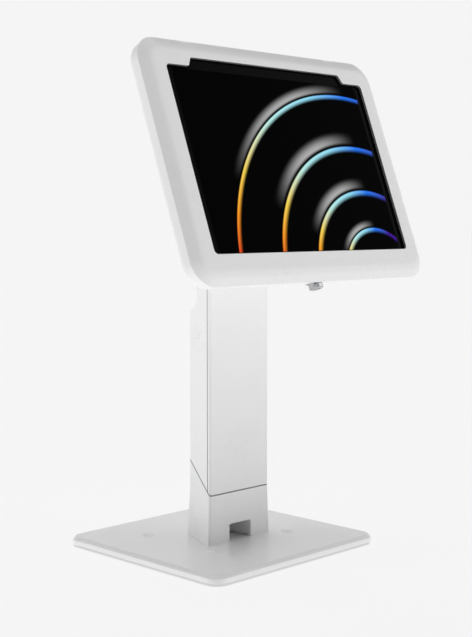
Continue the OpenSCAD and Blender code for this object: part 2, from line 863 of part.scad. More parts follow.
module catch_screws() {
    color(steel) on_head() for (x = catch_screw_x)
        translate([x, cam_y + cam_t / 2, -lip_t - catch_t - 2 * gap])
            pan_screw(catch_screw_r, catch_t + gap, 1.9, 1.2);
}

module lock_plug() {
    face = lock_out - 0.7;
    color(chrome) on_head() translate([0, lock_wall, lock_z]) rotate([90, 0, 0]) difference() {
        translate([0, 0, -barrel_in - 0.8]) cylinder(r = plug_r, h = barrel_in + 0.8 + face);
        translate([0, 0, face]) cube([1.2, 4.4, 6], center = true);
        translate([0, 0, -far]) cylinder(r = cam_screw_r + 0.02, h = far - barrel_in + 4);
    }
}

// Tongue that points at the frame when unlocked
module lock_cam() {
    half = cam_w / 2;
    tongue = [[-half, 0, 0], [half, 0, 0], [half, cam_reach, 1.5], [-half, cam_reach, 1.5]];
    color(steel) on_head() translate([0, cam_y + cam_t, lock_z]) rotate([90, 0, 0]) difference() {
        linear_extrude(cam_t - gap) {
            polygon(rounded(tongue));
            circle(r = 3.8);
        }
        translate([0, 0, -1]) cylinder(r = cam_screw_r + 0.1, h = 4);
    }
}

module cam_screw() {
    color(steel) on_head() translate([0, cam_y + cam_t + gap, lock_z]) rotate([90, 0, 0])
        pan_screw(cam_screw_r, cam_t + 3.6, 2.6, 1.6);
}

base_plate();
base_pad();
hole_plugs();
foot();
foot_screws();
mast();
mast_screws();
column_shell();
shell_screws();
front_cover();
cover_clips();
hinge_bracket();
bracket_screws();
neck_cap();
hinge_pin();
hinge_nut();
friction_washers();
tilt_arm();
knuckle_bush();
swivel_spindle();
swivel_nut();
swivel_washers();
swivel_plate();
plate_spacers();
plate_screws();
rear_shell();
frame_hinge_pins();
corner_pads();
tablet_housing();
tablet_battery();
tablet_board();
display_panel();
cover_glass();
camera_lens();
lock_housing();
lock_nut();
front_frame();
frame_gasket();
latch_catch();
catch_screws();
lock_plug();
lock_cam();
cam_screw();
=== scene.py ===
import json
import math

import bmesh
import bpy
from mathutils import Matrix, Vector


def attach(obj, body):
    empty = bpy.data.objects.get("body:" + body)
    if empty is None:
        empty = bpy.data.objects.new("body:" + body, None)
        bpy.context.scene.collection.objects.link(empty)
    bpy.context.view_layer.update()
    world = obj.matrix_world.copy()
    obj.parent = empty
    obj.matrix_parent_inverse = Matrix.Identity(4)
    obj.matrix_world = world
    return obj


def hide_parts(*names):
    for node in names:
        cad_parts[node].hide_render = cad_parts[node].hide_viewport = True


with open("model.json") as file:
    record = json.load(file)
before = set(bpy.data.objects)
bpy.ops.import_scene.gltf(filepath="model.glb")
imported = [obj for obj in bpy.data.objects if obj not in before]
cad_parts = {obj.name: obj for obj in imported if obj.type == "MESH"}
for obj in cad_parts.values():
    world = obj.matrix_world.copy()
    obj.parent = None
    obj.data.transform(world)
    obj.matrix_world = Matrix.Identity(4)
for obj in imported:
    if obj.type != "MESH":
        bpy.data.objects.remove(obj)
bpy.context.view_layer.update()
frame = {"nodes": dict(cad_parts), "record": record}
print("frame loaded:", len(frame["nodes"]), "nodes")

mm = 0.001
weld = 1e-7                                     # points closer than this, in metres, are one
hair = 0.01                                     # room for rounding when places in mm are compared
facing = 0.999                                  # share of a normal from which a face counts as facing a way
halfRound = 0.99                                # two full quarter rounds would meet in one point
softEdge = {"angle": 32.0, "segments": 3}       # sharper edges than this, in degrees, are softened
noiseSpan = (0.3, 0.7)                          # most of a noise lies between these
scene = bpy.context.scene

# The head's own axes: x to the right, y up the screen, z out of it, from the middle of its front face
head = {"lean": 20.45, "front": 89.5, "height": 353.0, "thickness": 20.0}
headTurn = math.radians(90 - head["lean"])
headCentre = Vector((0, -head["front"], head["height"])) * mm
headPlace = Matrix.Translation(headCentre) @ Matrix.Rotation(headTurn, 4, "X")

# Turns a flat profile on its side: its x, y and rise become y, z and x
sideways = Matrix(((0, 0, 1, 0), (1, 0, 0, 0), (0, 1, 0, 0), (0, 0, 0, 1)))


def addNode(tree, kind, inputs=None, **settings):
    node = tree.nodes.new(kind)
    for name, value in settings.items():
        setattr(node, name, value)
    for name, value in (inputs or {}).items():
        if isinstance(value, bpy.types.NodeSocket):
            tree.links.new(value, node.inputs[name])
        else:
            node.inputs[name].default_value = value
    return node


def mathNode(tree, operation, *values):
    return addNode(tree, "ShaderNodeMath", dict(enumerate(values)), operation=operation).outputs[0]


def vectorNode(tree, operation, first, second, output="Vector"):
    return addNode(tree, "ShaderNodeVectorMath", {0: first, 1: second}, operation=operation).outputs[output]


# Brings a value from one range to another, with soft ends if asked
def rangeNode(tree, value, fromMin, fromMax, toMin=0.0, toMax=1.0, blend="LINEAR"):
    ends = {"Value": value, "From Min": fromMin, "From Max": fromMax, "To Min": toMin, "To Max": toMax}
    return addNode(tree, "ShaderNodeMapRange", ends, interpolation_type=blend).outputs["Result"]


def newMaterial(name):
    material = bpy.data.materials.new(name)
    material.use_nodes = True
    tree = material.node_tree
    tree.nodes.clear()
    shader = addNode(tree, "ShaderNodeBsdfPrincipled")
    addNode(tree, "ShaderNodeOutputMaterial", {"Surface": shader.outputs["BSDF"]})
    return material, tree, shader


def newGroup(name, inputs, outputs):
    group = bpy.data.node_groups.new(name, "ShaderNodeTree")
    for socketName, kind, value in inputs:
        socket = group.interface.new_socket(socketName, in_out="INPUT", socket_type=kind)
        socket.default_value = value
    for socketName, kind in outputs:
        group.interface.new_socket(socketName, in_out="OUTPUT", socket_type=kind)
    return group, group.nodes.new("NodeGroupInput"), group.nodes.new("NodeGroupOutput")


# Fine pebble of a sprayed, moulded or plated surface, with a slow drift of tone and gloss
def buildPebble():
    inputs = [("Color", "NodeSocketColor", (0.8, 0.8, 0.8, 1)), ("Drift", "NodeSocketFloat", 0.03),
              ("Grain", "NodeSocketFloat", 900.0), ("Roughness", "NodeSocketFloat", 0.5),
              ("Spread", "NodeSocketFloat", 0.1)]
    outputs = [("Color", "NodeSocketColor"), ("Roughness", "NodeSocketFloat"), ("Height", "NodeSocketFloat")]
    group, given, result = newGroup("pebble", inputs, outputs)
    place = addNode(group, "ShaderNodeTexCoord").outputs["Object"]
    drift = {"Vector": place, "Scale": 14.0, "Detail": 3.0}
    slow = addNode(group, "ShaderNodeTexNoise", drift).outputs["Fac"]
    grain = {"Vector": place, "Scale": given.outputs["Grain"], "Detail": 1.5}
    fine = addNode(group, "ShaderNodeTexNoise", grain).outputs["Fac"]
    darkest = mathNode(group, "SUBTRACT", 1.0, given.outputs["Drift"])
    tone = rangeNode(group, slow, *noiseSpan, darkest, 1.0)
    tint = {0: given.outputs["Color"], "Scale": tone}
    shade = addNode(group, "ShaderNodeVectorMath", tint, operation="SCALE")
    swing = mathNode(group, "SUBTRACT", mathNode(group, "ADD", fine, slow), 1.0)
    rough = mathNode(group, "MULTIPLY_ADD", swing, given.outputs["Spread"], given.outputs["Roughness"])
    group.links.new(shade.outputs["Vector"], result.inputs["Color"])
    group.links.new(rough, result.inputs["Roughness"])
    group.links.new(fine, result.inputs["Height"])
    return group


pebble = buildPebble()


def pebbled(name, color, roughness, grain, bump, drift=0.03, spread=0.1, metallic=0.0, gloss=0.5):
    material, tree, shader = newMaterial(name)
    given = {"Color": (*color, 1), "Drift": drift, "Grain": grain, "Roughness": roughness, "Spread": spread}
    skin = addNode(tree, "ShaderNodeGroup", node_tree=pebble)
    for socketName, value in given.items():
        skin.inputs[socketName].default_value = value
    relief = addNode(tree, "ShaderNodeBump", {"Height": skin.outputs["Height"], "Distance": bump})
    tree.links.new(skin.outputs["Color"], shader.inputs["Base Color"])
    tree.links.new(skin.outputs["Roughness"], shader.inputs["Roughness"])
    tree.links.new(relief.outputs["Normal"], shader.inputs["Normal"])
    shader.inputs["Metallic"].default_value = metallic
    shader.inputs["Specular IOR Level"].default_value = gloss
    return material


whiteCoat = pebbled("whiteCoat", (0.87, 0.87, 0.872), 0.3, 1100.0, 0.000012, drift=0.012, spread=0.12,
                    gloss=0.6)
baseCoat = pebbled("baseCoat", (0.87, 0.87, 0.872), 0.24, 1000.0, 0.00001, drift=0.012, spread=0.1,
                   gloss=0.75)
# Mid grey for the foot's slanted top under the seam: painted shade in the gap
paintedGapShade = pebbled("paintedGapShade", (0.58, 0.58, 0.585), 0.6, 900.0, 0.00001, drift=0.1)
# Dark grey for the sheets' rim faces: painted shade in the seams and on the window's inner wall
paintedSeamShade = pebbled("paintedSeamShade", (0.15, 0.15, 0.155), 0.6, 900.0, 0.00001, drift=0.1)
whiteCap = pebbled("whiteCap", (0.92, 0.92, 0.92), 0.75, 1800.0, 0.000012, drift=0.01, gloss=0.1)
blackRubber = pebbled("blackRubber", (0.022, 0.022, 0.023), 0.78, 1400.0, 0.00003, drift=0.15, spread=0.15)
blackFilm = pebbled("blackFilm", (0.012, 0.012, 0.013), 0.4, 900.0, 0.00001, drift=0.1)
zincSteel = pebbled("zincSteel", (0.52, 0.525, 0.535), 0.38, 420.0, 0.000006, drift=0.12, spread=0.25,
                    metallic=1.0)
# Chrome a little darker than plain chrome: its own tone, lowered as painted shade of the head over the lock
brightChrome = pebbled("brightChrome", (0.5, 0.505, 0.52), 0.12, 600.0, 0.000002, spread=0.06, metallic=1.0)
greyAnodised = pebbled("greyAnodised", (0.3, 0.305, 0.315), 0.42, 2600.0, 0.000006, metallic=1.0)
boardGreen = pebbled("boardGreen", (0.03, 0.1, 0.05), 0.6, 700.0, 0.00002, drift=0.2, spread=0.2)


glass = {"tint": (0.0005, 0.0005, 0.0005), "roughness": 0.08, "displayGloss": 0.004, "borderGloss": 0.015}


def darkGlass(name, gloss):
    material, tree, shader = newMaterial(name)
    shader.inputs["Base Color"].default_value = (*glass["tint"], 1)
    shader.inputs["Roughness"].default_value = glass["roughness"]
    shader.inputs["Specular IOR Level"].default_value = gloss
    return material, tree, shader


# Vector in mm, across the screen, from a point in its plane
def screenArm(tree, x, y):
    place = addNode(tree, "ShaderNodeTexCoord").outputs["Object"]
    axes = {"Vector": place, "Location": headCentre, "Rotation": (headTurn, 0, 0), "Scale": (mm, mm, mm)}
    onScreen = addNode(tree, "ShaderNodeMapping", axes, vector_type="TEXTURE").outputs["Vector"]
    return vectorNode(tree, "MULTIPLY", vectorNode(tree, "SUBTRACT", onScreen, (x, y, 0)), (1, 1, 0))


ripples = {
    "centre": (86.0, -112.0),                                       # beyond the lower right corner
    "rings": [(52.0, 5.0, 9.0), (88.0, 6.0, 14.0),
              (131.0, 6.0, 16.0), (182.0, 5.0, 12.0)],              # radius, line, glow
    "sweep": (182.0, 66.0),                                         # degrees over which the hues run
    "hues": [(0.0, (0.05, 0.02, 0.35)), (0.1, (0.75, 0.06, 0.02)), (0.2, (1.0, 0.34, 0.02)),
             (0.32, (1.0, 0.72, 0.1)), (0.5, (0.52, 0.9, 0.86)), (0.68, (0.3, 0.75, 0.95)),
             (0.82, (0.02, 0.2, 0.95)), (1.0, (0.06, 0.01, 0.3))],
    "glow": 0.42,
    "glowStart": (150.0, 118.0),                                    # degrees over which the glow comes up
    "glowEnd": (86.0, 112.0),                                       # and over which it goes again
    "black": 0.0003,
    "enter": (-0.12, 0.12), "fade": (0.1, 1.0),                     # shares of the line's width
    "start": (0.1, 0.3), "drop": (0.2, 1.0),                        # shares of the glow's reach
}


# One ring of a ripple: a bright line inside its radius and a pale glow that fades outwards
def buildRippleRing():
    inputs = [("Distance", "NodeSocketFloat", 0.0), ("Radius", "NodeSocketFloat", 60.0),
              ("Line", "NodeSocketFloat", 4.0), ("Glow", "NodeSocketFloat", 20.0)]
    outputs = [("Line", "NodeSocketFloat"), ("Glow", "NodeSocketFloat")]
    group, given, result = newGroup("rippleRing", inputs, outputs)
    inside = mathNode(group, "SUBTRACT", given.outputs["Radius"], given.outputs["Distance"])
    depth = mathNode(group, "DIVIDE", inside, given.outputs["Line"])
    enter = rangeNode(group, depth, *ripples["enter"], blend="SMOOTHSTEP")
    fade = rangeNode(group, depth, *ripples["fade"], 1.0, 0.0, "SMOOTHSTEP")
    outside = mathNode(group, "SUBTRACT", given.outputs["Distance"], given.outputs["Radius"])
    reach = mathNode(group, "DIVIDE", outside, given.outputs["Glow"])
    start = rangeNode(group, reach, *ripples["start"], blend="SMOOTHSTEP")
    drop = rangeNode(group, reach, *ripples["drop"], 1.0, 0.0, "SMOOTHERSTEP")
    group.links.new(mathNode(group, "MULTIPLY", enter, fade), result.inputs["Line"])
    group.links.new(mathNode(group, "MULTIPLY", start, drop), result.inputs["Glow"])
    return group


def buildDisplay():
    ring = buildRippleRing()
    material, tree, shader = darkGlass("litDisplay", glass["displayGloss"])
    way = screenArm(tree, *ripples["centre"])
    distance = vectorNode(tree, "LENGTH", way, (0, 0, 0), "Value")
    parts = addNode(tree, "ShaderNodeSeparateXYZ", {"Vector": way})
    angle = mathNode(tree, "ARCTAN2", parts.outputs["Y"], parts.outputs["X"])
    first, last = (math.radians(end) for end in ripples["sweep"])
    hues = addNode(tree, "ShaderNodeValToRGB", {"Fac": rangeNode(tree, angle, first, last)})
    stops = hues.color_ramp.elements
    for index, (position, color) in enumerate(ripples["hues"]):
        stop = stops[index] if index < 2 else stops.new(position)   # a new ramp has two stops
        stop.position = position
        stop.color = (*color, 1)
    lines, glows = 0.0, 0.0
    for radius, width, reach in ripples["rings"]:
        node = addNode(tree, "ShaderNodeGroup", node_tree=ring)
        for socketName, value in (("Radius", radius), ("Line", width), ("Glow", reach)):
            node.inputs[socketName].default_value = value
        tree.links.new(distance, node.inputs["Distance"])
        lines = mathNode(tree, "ADD", node.outputs["Line"], lines)
        glows = mathNode(tree, "ADD", node.outputs["Glow"], glows)
    colored = {0: hues.outputs["Color"], "Scale": lines}
    lit = addNode(tree, "ShaderNodeVectorMath", colored, operation="SCALE")
    rise = rangeNode(tree, angle, *map(math.radians, ripples["glowStart"]), blend="SMOOTHSTEP")
    fall = rangeNode(tree, angle, *map(math.radians, ripples["glowEnd"]), blend="SMOOTHSTEP")
    haze = mathNode(tree, "MULTIPLY", glows, mathNode(tree, "MULTIPLY", rise, fall))
    pale = mathNode(tree, "MULTIPLY_ADD", haze, ripples["glow"], ripples["black"])
    tree.links.new(vectorNode(tree, "ADD", lit.outputs["Vector"], pale), shader.inputs["Emission Color"])
    shader.inputs["Emission Strength"].default_value = 1.0
    return material


cameraDot = {"y": 85.0, "radius": 1.3, "edge": 0.25,
             "clear": (0.0003, 0.0003, 0.0008), "print": (0.002, 0.002, 0.002)}


# Black print behind the glass, with the clear dot in front of the camera
def buildBorder():
    material, tree, shader = darkGlass("blackBorder", glass["borderGloss"])
    distance = vectorNode(tree, "LENGTH", screenArm(tree, 0, cameraDot["y"]), (0, 0, 0), "Value")
    low, high = cameraDot["radius"] - cameraDot["edge"], cameraDot["radius"] + cameraDot["edge"]
    tone = addNode(tree, "ShaderNodeMix", data_type="RGBA")
    tree.links.new(rangeNode(tree, distance, low, high), tone.inputs["Factor"])
    tone.inputs[6].default_value = (*cameraDot["clear"], 1)         # sockets 6 and 7 are the two colors
    tone.inputs[7].default_value = (*cameraDot["print"], 1)
    tree.links.new(tone.outputs[2], shader.inputs["Base Color"])
    return material


blackBorder = buildBorder()
litDisplay = buildDisplay()
print("materials made")


# Flat face through (x, y, radius) corners in mm, each rounded by its own radius
def cornerFace(bm, corners, segments=12):
    known = set(bm.faces)
    points = [Vector((x, y, 0)) * mm for x, y, radius in corners]
    verts = [bm.verts.new(point) for point in points]
    bm.faces.new(verts)
    for index, (x, y, radius) in enumerate(corners):
        if radius:
            here, after = points[index], points[(index + 1) % len(points)]
            half = (points[index - 1] - here).angle(after - here) / 2
            reach = radius * mm / math.tan(half)
            bmesh.ops.bevel(bm, geom=[verts[index]], offset=reach, offset_type="OFFSET", affect="VERTICES",
                            segments=segments, profile=0.5, material=-1)
    return next(face for face in bm.faces if face not in known)


def boxCorners(width, height, radius):
    x, y = width / 2, height / 2
    return [(-x, -y, radius), (x, -y, radius), (x, y, radius), (-x, y, radius)]


# Raises a face ring by ring, each step an (inset, rise) in mm, and returns the face on top
def riseAlong(bm, face, steps):
    for inset, rise in steps:
        if inset:
            bmesh.ops.inset_region(bm, faces=[face], thickness=inset * mm, depth=rise * mm,
                                   use_even_offset=True, use_boundary=True)
        else:
            face = bmesh.ops.extrude_discrete_faces(bm, faces=[face])["faces"][0]
            bmesh.ops.translate(bm, verts=face.verts, vec=(0, 0, rise * mm))
    return face


# Steps round a quarter of a circle, from an upright wall to a level face
def quarterRound(radius, count):
    turns = [math.pi / 2 * i / count for i in range(count + 1)]
    return [(radius * (math.cos(a) - math.cos(b)), radius * (math.sin(b) - math.sin(a)))
            for a, b in zip(turns, turns[1:])]


# Upright block on a rounded outline, with any steps in its wall, closed at both ends
def block(bm, corners, low, steps, segments=12):
    face = cornerFace(bm, corners, segments)
    bmesh.ops.translate(bm, verts=face.verts, vec=(0, 0, low * mm))
    rim = list(face.verts)
    top = riseAlong(bm, face, steps)
    bm.faces.new(reversed(rim))
    return top


def roundPost(bm, radius, low, high, at=(0, 0), segments=64):
    made = bmesh.ops.create_cone(bm, cap_ends=True, segments=segments, radius1=radius * mm,
                                 radius2=radius * mm, depth=(high - low) * mm)
    middle = Vector((at[0], at[1], (low + high) / 2)) * mm
    bmesh.ops.translate(bm, verts=made["verts"], vec=middle)


# Turned shape from its half outline of (radius, height) points
def turned(bm, outline, at=(0, 0), segments=64):
    known = set(bm.verts)
    points = [bm.verts.new((radius * mm, 0, height * mm)) for radius, height in outline]
    edges = [bm.edges.new(pair) for pair in zip(points, points[1:])]
    bmesh.ops.spin(bm, geom=points + edges, cent=(0, 0, 0), axis=(0, 0, 1), angle=2 * math.pi,
                   steps=segments, use_merge=True)
    made = [vert for vert in bm.verts if vert not in known]
    bmesh.ops.translate(bm, verts=made, vec=(at[0] * mm, at[1] * mm, 0))
    turnOutward(bm)


def turnOutward(bm):
    bmesh.ops.remove_doubles(bm, verts=bm.verts, dist=weld)
    bmesh.ops.recalc_face_normals(bm, faces=bm.faces)


# Open skins have no inside, so their faces are turned away from a point within
def turnAwayFrom(bm, point):
    turnOutward(bm)
    middle = Vector(point) * mm
    facing = sum((face.calc_center_median() - middle).dot(face.normal) * face.calc_area()
                 for face in bm.faces)
    if facing < 0:
        bmesh.ops.reverse_faces(bm, faces=bm.faces)


def plainObject(name, bm):
    mesh = bpy.data.meshes.new(name)
    bm.to_mesh(mesh)
    bm.free()
    obj = bpy.data.objects.new(name, mesh)
    scene.collection.objects.link(obj)
    return obj


# Cuts the tool's room out of a solid, or joins the tool to it
def combine(bm, tool, operation="DIFFERENCE"):
    turnOutward(bm)
    turnOutward(tool)
    pair = [plainObject("work", bm), plainObject("tool", tool)]
    step = pair[0].modifiers.new("combine", "BOOLEAN")
    step.operation = operation
    step.solver = "EXACT"
    step.object = pair[1]
    ready = pair[0].evaluated_get(bpy.context.evaluated_depsgraph_get())
    result = bmesh.new()
    result.from_mesh(ready.data)
    for obj in pair:
        mesh = obj.data
        bpy.data.objects.remove(obj)
        bpy.data.meshes.remove(mesh)
    turnOutward(result)
    return result


# Makes a piece of a shape: its place, wall, soft edges, finish, body, and the CAD nodes that it stands for
def finishPiece(bm, name, body, materials, replaced=(), place=None, wall=0.0, edge=0.0):
    sharp = math.radians(softEdge["angle"])
    if place is not None:
        bm.transform(place)
    obj = plainObject(name, bm)
    obj.data.shade_smooth()
    obj.data.set_sharp_from_angle(angle=sharp)
    for material in materials:
        obj.data.materials.append(material)
    if wall:
        sheet = obj.modifiers.new("wall", "SOLIDIFY")
        sheet.thickness = wall * mm
        sheet.offset = -1.0
        sheet.use_even_offset = True
        sheet.material_offset_rim = len(materials) - 1              # rim faces take the last finish, here the dark grey of painted shade
    if edge:
        soft = obj.modifiers.new("softEdges", "BEVEL")
        soft.width = edge * mm
        soft.segments = softEdge["segments"]
        soft.profile = 0.5
        soft.limit_method = "ANGLE"
        soft.angle_limit = sharp
    even = obj.modifiers.new("evenNormals", "WEIGHTED_NORMAL")
    even.keep_sharp = True
    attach(obj, body)
    if replaced:
        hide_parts(*replaced)
    return obj


base = {"width": 210.0, "depth": 200.0, "corner": 13.0, "low": 2.2, "top": 9.2, "chamfer": 2.8, "soft": 0.4}
holes = {"x": 51.0, "y": (-36.0, 46.0), "seat": 5.2, "seatLow": 5.6, "room": 0.06, "soft": 0.25}
pad = {"inset": 8.0, "hole": 6.3}


def holePlaces():
    return [(x, y) for x in (-holes["x"], holes["x"]) for y in holes["y"]]


def makeBasePlate():
    bm = bmesh.new()
    wall = base["top"] - base["low"] - base["chamfer"]
    steps = [(0, wall), (base["chamfer"], base["chamfer"])]
    block(bm, boxCorners(base["width"], base["depth"], base["corner"]), base["low"], steps, 20)
    seats = bmesh.new()
    for at in holePlaces():
        roundPost(seats, holes["seat"], holes["seatLow"], 2 * base["top"], at)
    finishPiece(combine(bm, seats), "basePlate", "stand", [baseCoat], ["base_plate"],
                edge=base["soft"])


def makeHolePlugs():
    bm = bmesh.new()
    for at in holePlaces():
        roundPost(bm, holes["seat"] - holes["room"], holes["seatLow"], base["top"], at)
    turnOutward(bm)
    finishPiece(bm, "holePlugs", "stand", [whiteCap], ["hole_plugs"], edge=holes["soft"])


def makeBasePad():
    bm = bmesh.new()
    width, depth = base["width"] - 2 * pad["inset"], base["depth"] - 2 * pad["inset"]
    block(bm, boxCorners(width, depth, base["corner"] - pad["inset"]), 0, [(0, base["low"])], 20)
    clear = bmesh.new()
    for at in holePlaces():
        roundPost(clear, pad["hole"], -base["low"], 2 * base["low"], at)
    finishPiece(combine(bm, clear), "basePad", "stand", [blackRubber], ["base_pad"])


makeBasePlate()
makeHolePlugs()
makeBasePad()
print("base made")

column = {"frontWidth": 77.2, "rearWidth": 42.0, "front": -23.0, "rear": 22.0, "neckRear": 6.5,
          "frontRound": 2.0, "rearRound": 2.5, "coverDepth": 4.0, "shadow": 1.2, "sheet": 2.0, "soft": 0.1,
          "shoulderLow": 220.5, "shoulderHigh": 226.5, "shoulderRound": 8.5, "top": 304.5,
          "seamHeight": 54.0, "seamSlope": 30.5}
foot = {"low": 9.2, "flareSide": 1.7, "flareFront": 0.7, "flareRear": 3.0, "wall": 4.0, "upper": 45.0,
        "soft": 0.3, "mouthWidth": 28.0, "mouthHeight": 16.0, "mouthRound": 2.0}
cap = {"thickness": 2.0, "slotX": (8.65, 14.25), "slotY": (-20.0, 3.5), "soft": 0.5}


def halfWidth(y):
    share = (y - column["front"]) / (column["rear"] - column["front"])
    return (column["frontWidth"] + (column["rearWidth"] - column["frontWidth"]) * share) / 2


def columnPlan(rear, frontRound, rearRound):
    x, back = column["frontWidth"] / 2, halfWidth(rear)
    return [(-x, column["front"], frontRound), (x, column["front"], frontRound),
            (back, rear, rearRound), (-back, rear, rearRound)]


def seamNormal():
    slope = math.radians(column["seamSlope"])
    return Vector((0, -math.sin(slope), math.cos(slope)))


# Cuts a shape on the slanted joint between foot and column and keeps one side of it
def cutOnSeam(bm, lift, keepAbove):
    point = Vector((0, column["front"], column["seamHeight"] + lift)) * mm
    cut = bmesh.ops.bisect_plane(bm, geom=bm.verts[:] + bm.edges[:] + bm.faces[:], dist=weld, plane_co=point,
                                 plane_no=seamNormal(), clear_inner=keepAbove, clear_outer=not keepAbove)
    return [part for part in cut["geom_cut"] if isinstance(part, bmesh.types.BMEdge)]


def makeFrontCover():
    bm = bmesh.new()
    back = column["front"] + column["coverDepth"]
    face = cornerFace(bm, columnPlan(back, column["frontRound"], 0), 10)
    rear = [edge for edge in face.edges if all(vert.co.y > (back - hair) * mm for vert in edge.verts)]
    bmesh.ops.delete(bm, geom=rear, context="EDGES")
    made = bmesh.ops.extrude_edge_only(bm, edges=bm.edges[:])["geom"]
    upper = [part for part in made if isinstance(part, bmesh.types.BMVert)]
    bmesh.ops.translate(bm, verts=upper, vec=(0, 0, column["top"] * mm))
    cutOnSeam(bm, column["shadow"], True)
    turnAwayFrom(bm, (0, column["rear"], column["top"] / 2))
    # The cover's rim faces take the dark grey of painted shade in the seam
    finishPiece(bm, "frontCover", "stand", [whiteCoat, paintedSeamShade], ["front_cover"],
                wall=column["sheet"], edge=column["soft"])


# Side view of the casing pulled to its full width, then narrowed towards the rear
def makeColumnShell():
    bm = bmesh.new()
    front = column["front"] + column["coverDepth"] + column["shadow"]
    rear, neck, high, bend = column["rear"], column["neckRear"], column["top"], column["shoulderRound"]
    profile = [(front, 0, 0), (rear, 0, 0), (rear, column["shoulderLow"], bend),
               (neck, column["shoulderHigh"], bend), (neck, high, 0), (front, high, 0)]
    block(bm, profile, -1, [(0, 2)])
    bm.transform(sideways)
    for vert in bm.verts:
        vert.co.x *= halfWidth(vert.co.y / mm)
    turnOutward(bm)
    ends = [face for face in bm.faces if abs(face.normal.z) > facing or face.normal.y < -facing]
    bmesh.ops.delete(bm, geom=ends, context="FACES")
    turn = 0.5                                                      # sides and rear differ by more than this
    corners = [edge for edge in bm.edges if len(edge.link_faces) == 2
               and abs(edge.link_faces[0].normal.x - edge.link_faces[1].normal.x) > turn]
    bmesh.ops.bevel(bm, geom=corners, offset=column["rearRound"] * mm, offset_type="OFFSET", affect="EDGES",
                    segments=6, profile=0.5, material=-1)
    cutOnSeam(bm, column["shadow"], True)
    turnAwayFrom(bm, (0, front, column["top"] / 2))
    # The shell's rim faces take the dark grey of painted shade in the seam
    finishPiece(bm, "columnShell", "stand", [whiteCoat, paintedSeamShade], ["column_shell"],
                wall=column["sheet"], edge=column["soft"])


def makeFoot():
    bm = bmesh.new()
    face = cornerFace(bm, columnPlan(column["rear"], column["frontRound"], column["rearRound"]), 10)
    bmesh.ops.translate(bm, verts=face.verts, vec=(0, 0, foot["low"] * mm))
    rim = list(face.verts)
    skirt = riseAlong(bm, face, [(0, column["seamHeight"] - foot["low"])])
    depth, flareDepth = column["rear"] - column["front"], foot["flareFront"] + foot["flareRear"]
    still = column["front"] + foot["flareFront"] * depth / flareDepth   # where the flare moves nothing
    flare = (1 + 2 * foot["flareSide"] / column["frontWidth"], 1 + flareDepth / depth, 1)
    bmesh.ops.scale(bm, verts=rim, vec=flare, space=Matrix.Translation((0, -still * mm, 0)))
    riseAlong(bm, skirt, [(0, foot["upper"])])
    bm.faces.new(reversed(rim))
    turnOutward(bm)
    bmesh.ops.holes_fill(bm, edges=cutOnSeam(bm, 0, False), sides=0)
    front, rear = column["front"] + foot["wall"], column["rear"] - foot["wall"]
    x, back = halfWidth(front) - foot["wall"], halfWidth(rear) - foot["wall"]
    hollow = bmesh.new()
    outline = [(-x, front, 0), (x, front, 0), (back, rear, 0), (-back, rear, 0)]
    block(hollow, outline, 0, [(0, column["top"])])
    x, top = foot["mouthWidth"] / 2, foot["low"] + foot["mouthHeight"]
    mouth = bmesh.new()
    outline = [(-x, 0, 0), (x, 0, 0), (x, top, foot["mouthRound"]), (-x, top, foot["mouthRound"])]
    block(mouth, outline, 0, [(0, 3 * foot["wall"])])
    mouth.transform(Matrix.Translation((0, front * mm, 0)) @ Matrix.Rotation(math.pi / 2, 4, "X"))
    shoe = combine(combine(bm, hollow), mouth)
    # The slanted top face under the seam takes the mid grey of painted shade
    for face in shoe.faces:
        face.material_index = int(face.normal.dot(seamNormal()) > facing)
    finishPiece(shoe, "footShoe", "stand", [whiteCoat, paintedGapShade], ["foot"],
                edge=foot["soft"])


def makeNeckCap():
    bm = bmesh.new()
    plan = columnPlan(column["neckRear"], column["frontRound"], column["rearRound"])
    block(bm, plan, column["top"], [(0, cap["thickness"])])
    slots = bmesh.new()
    for side in (-1, 1):
        near, beyond = sorted(side * x for x in cap["slotX"])
        low, high = cap["slotY"]
        outline = [(near, low, 0), (beyond, low, 0), (beyond, high, 0), (near, high, 0)]
        block(slots, outline, 0, [(0, 2 * column["top"])])
    finishPiece(combine(bm, slots), "neckCap", "stand", [whiteCap], ["neck_cap"],
                edge=cap["soft"])


makeFrontCover()
makeColumnShell()
makeFoot()
makeNeckCap()
print("column made")

casing = {"width": 294.5, "height": 214.5, "corner": 22.0,
          "bevelWidth": 12.8, "bevelDepth": 5.8, "bevelSlope": 34.0, "bevelRings": 10,
          "split": 7.0, "lip": 2.2, "soft": 0.3}
window = {"width": 247.5, "height": 163.6, "corner": 4.0, "notchHeight": 8.0, "notchTop": 187.4,
          "notchFoot": 196.0, "notchRound": 2.0}
tray = {"inset": 1.0, "edge": 6.0, "wall": 2.0, "relief": 0.8, "reliefFrom": 100.0}
frameHinge = {"x": 90.0, "y": 105.0, "z": -9.2, "barrel": 2.0, "middle": 12.0, "side": 7.0, "room": 0.6,
              "pocketWidth": 31.0, "pocketDepth": 5.0, "pocketLow": -12.6, "tongue": 1.2, "soft": 0.2}


# Narrow wall at the outer edge, a straight slope, then a round that runs out into the face
def bevelSteps():
    slope = math.radians(casing["bevelSlope"])
    width, depth, count = casing["bevelWidth"], casing["bevelDepth"], casing["bevelRings"]
    radius = (width * math.sin(slope) - depth * math.cos(slope)) / (1 - math.cos(slope))
    turns = [slope * i / count for i in range(count, -1, -1)]
    bend = [(width - radius * math.sin(t), radius * math.cos(t) - radius) for t in turns]
    points = [(0, -casing["split"]), (0, -depth)] + bend
    return [(b[0] - a[0], b[1] - a[1]) for a, b in zip(points, points[1:])]


def windowCorners():
    x, y, corner = window["width"] / 2, window["height"] / 2, window["corner"]
    wide, narrow, bend = window["notchFoot"] / 2, window["notchTop"] / 2, window["notchRound"]
    high = y + window["notchHeight"]
    return [(-x, -y, corner), (x, -y, corner), (x, y, corner), (wide, y, bend), (narrow, high, bend),
            (-narrow, high, bend), (-wide, y, bend), (-x, y, corner)]


